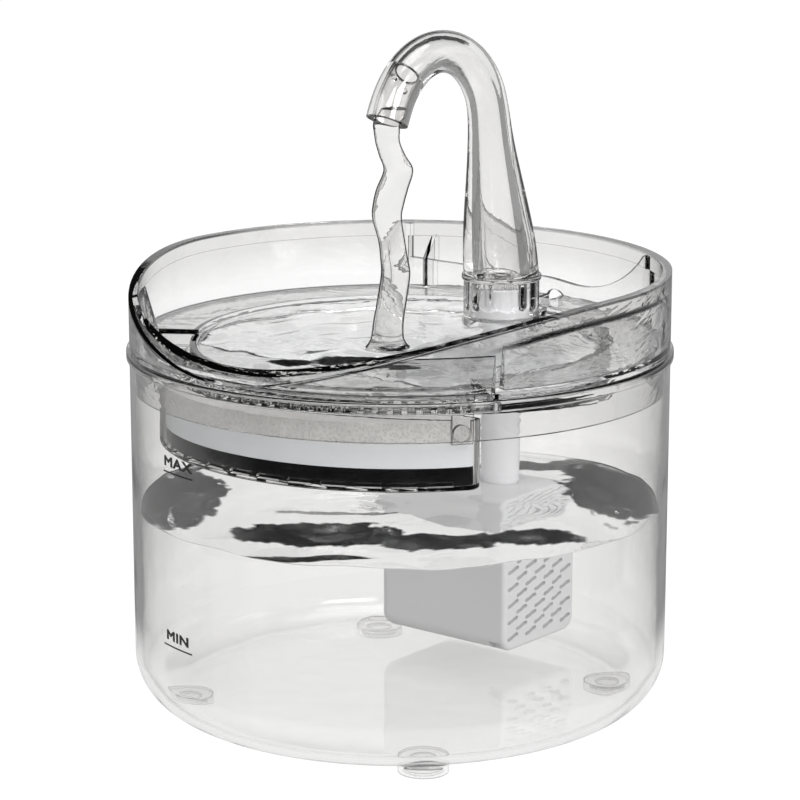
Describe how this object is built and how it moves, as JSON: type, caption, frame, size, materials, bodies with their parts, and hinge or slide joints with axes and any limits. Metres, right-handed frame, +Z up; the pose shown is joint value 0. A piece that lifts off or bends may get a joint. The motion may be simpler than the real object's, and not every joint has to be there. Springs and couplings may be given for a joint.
{
  "type": "pet water fountain",
  "caption": "Clear round water tank with a lift-off drinking tray, swan-neck spout, half-moon filter case and a submersible pump on a riser pipe.",
  "frame": {"origin": "under the centre of the tank, on the surface that the feet stand on", "axes": "+Z up; -Y is the low front of the tray, where the animal drinks; +X is on the right of a person who stands in front of it and looks along +Y"},
  "size_m": [0.1872, 0.187, 0.2332],
  "materials": {
    "clear_plastic": "clear, polished injection moulding",
    "clear_case": "clear injection moulding",
    "clear_liner": "clear injection moulding",
    "clear_foot": "clear soft elastomer",
    "seal_silicone": "milky silicone",
    "white_pipe": "white moulded plastic",
    "carbon": "black fibre mat with carbon",
    "cotton": "white fibre wadding",
    "sponge": "grey open foam",
    "white_pump": "white moulded plastic, fine spark texture",
    "intake_sponge": "black open foam",
    "core_steel": "laminated steel",
    "copper_winding": "enamelled copper wire",
    "potting_resin": "black potting resin",
    "gland_rubber": "white soft moulding",
    "white_inner": "white moulded plastic",
    "bush_rubber": "black rubber",
    "shaft_steel": "ground stainless steel",
    "ferrite": "sintered ferrite"
  },
  "bodies": {
    "root": {"tank": "clear_plastic", "tank_feet": "clear_foot"},
    "tray": {"tray": "clear_plastic", "riser_pipe": "white_pipe", "pump_housing": "white_pump", "potting": "potting_resin", "stator_core": "core_steel", "pump_coil": "copper_winding", "cord_gland": "gland_rubber", "rotor_shaft": "shaft_steel", "rear_bush": "bush_rubber", "front_bush": "bush_rubber", "volute_cover": "white_inner"},
    "spout": {"spout_neck": "clear_plastic", "spout_nozzle": "clear_liner", "spout_seal": "seal_silicone"},
    "filter": {"filter_case": "clear_case", "carbon_layer": "carbon", "cotton_layer": "cotton", "sponge_layer": "sponge"},
    "rotor": {"impeller": "white_inner", "rotor_magnet": "ferrite"},
    "intake": {"intake_cover": "white_pump", "intake_sponge": "intake_sponge"}
  },
  "joints": [
    {"name": "tray_lift", "type": "slide", "parent": "root", "child": "tray", "axis": [0, 0, 1], "range_m": [0, 0.13]},
    {"name": "spout_pull", "type": "slide", "parent": "tray", "child": "spout", "axis": [0, 0, 1], "range_m": [0, 0.016]},
    {"name": "filter_case_drop", "type": "slide", "parent": "tray", "child": "filter", "axis": [0, 0, -1], "range_m": [0, 0.03]},
    {"name": "rotor_spin", "type": "hinge", "parent": "tray", "child": "rotor", "pos_m": [-0.01, 0.053, 0.04], "axis": [1, 0, 0], "continuous": true},
    {"name": "intake_cover_pull", "type": "slide", "parent": "tray", "child": "intake", "axis": [1, 0, 0], "range_m": [0, 0.016]}
  ]
}
